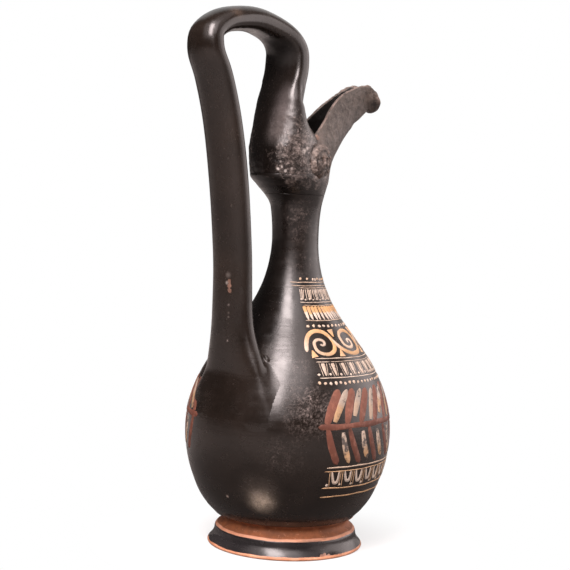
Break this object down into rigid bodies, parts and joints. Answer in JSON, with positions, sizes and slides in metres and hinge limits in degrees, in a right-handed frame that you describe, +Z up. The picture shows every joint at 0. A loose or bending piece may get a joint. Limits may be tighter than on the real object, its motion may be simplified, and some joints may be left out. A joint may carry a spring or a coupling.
{
  "type": "pouring jug",
  "caption": "Tall fired-clay pouring jug with an ovoid body, slender neck, open beaked spout, high looped strap handle and a moulded ring foot, in black gloss with painted bands.",
  "frame": {"origin": "on the plane that the foot stands on, under the middle of the jug's overall length and width; the vessel's own axis stands 8 mm from it towards the spout", "axes": "+Z up along the vessel's axis, +X towards the spout with the handle at -X, +Y across the jug's plane of symmetry"},
  "size_m": [0.1151, 0.0934, 0.238],
  "materials": {
    "black_gloss": "worn black gloss slip with painted bands in white, ochre and brick red",
    "worn_gloss": "abraded black gloss slip, encrusted",
    "bare_clay": "reserved orange clay, matt"
  },
  "bodies": {
    "root": {"foot": "black_gloss", "foot_lute": "bare_clay", "body": "black_gloss", "shoulder_lute": "bare_clay", "neck": "black_gloss", "neck_lute": "bare_clay", "mouth_collar": "worn_gloss", "rim_lute": "bare_clay", "spout": "worn_gloss", "handle": "black_gloss", "handle_root_lute": "bare_clay", "head_right": "worn_gloss", "head_left": "worn_gloss"}
  },
  "joints": []
}
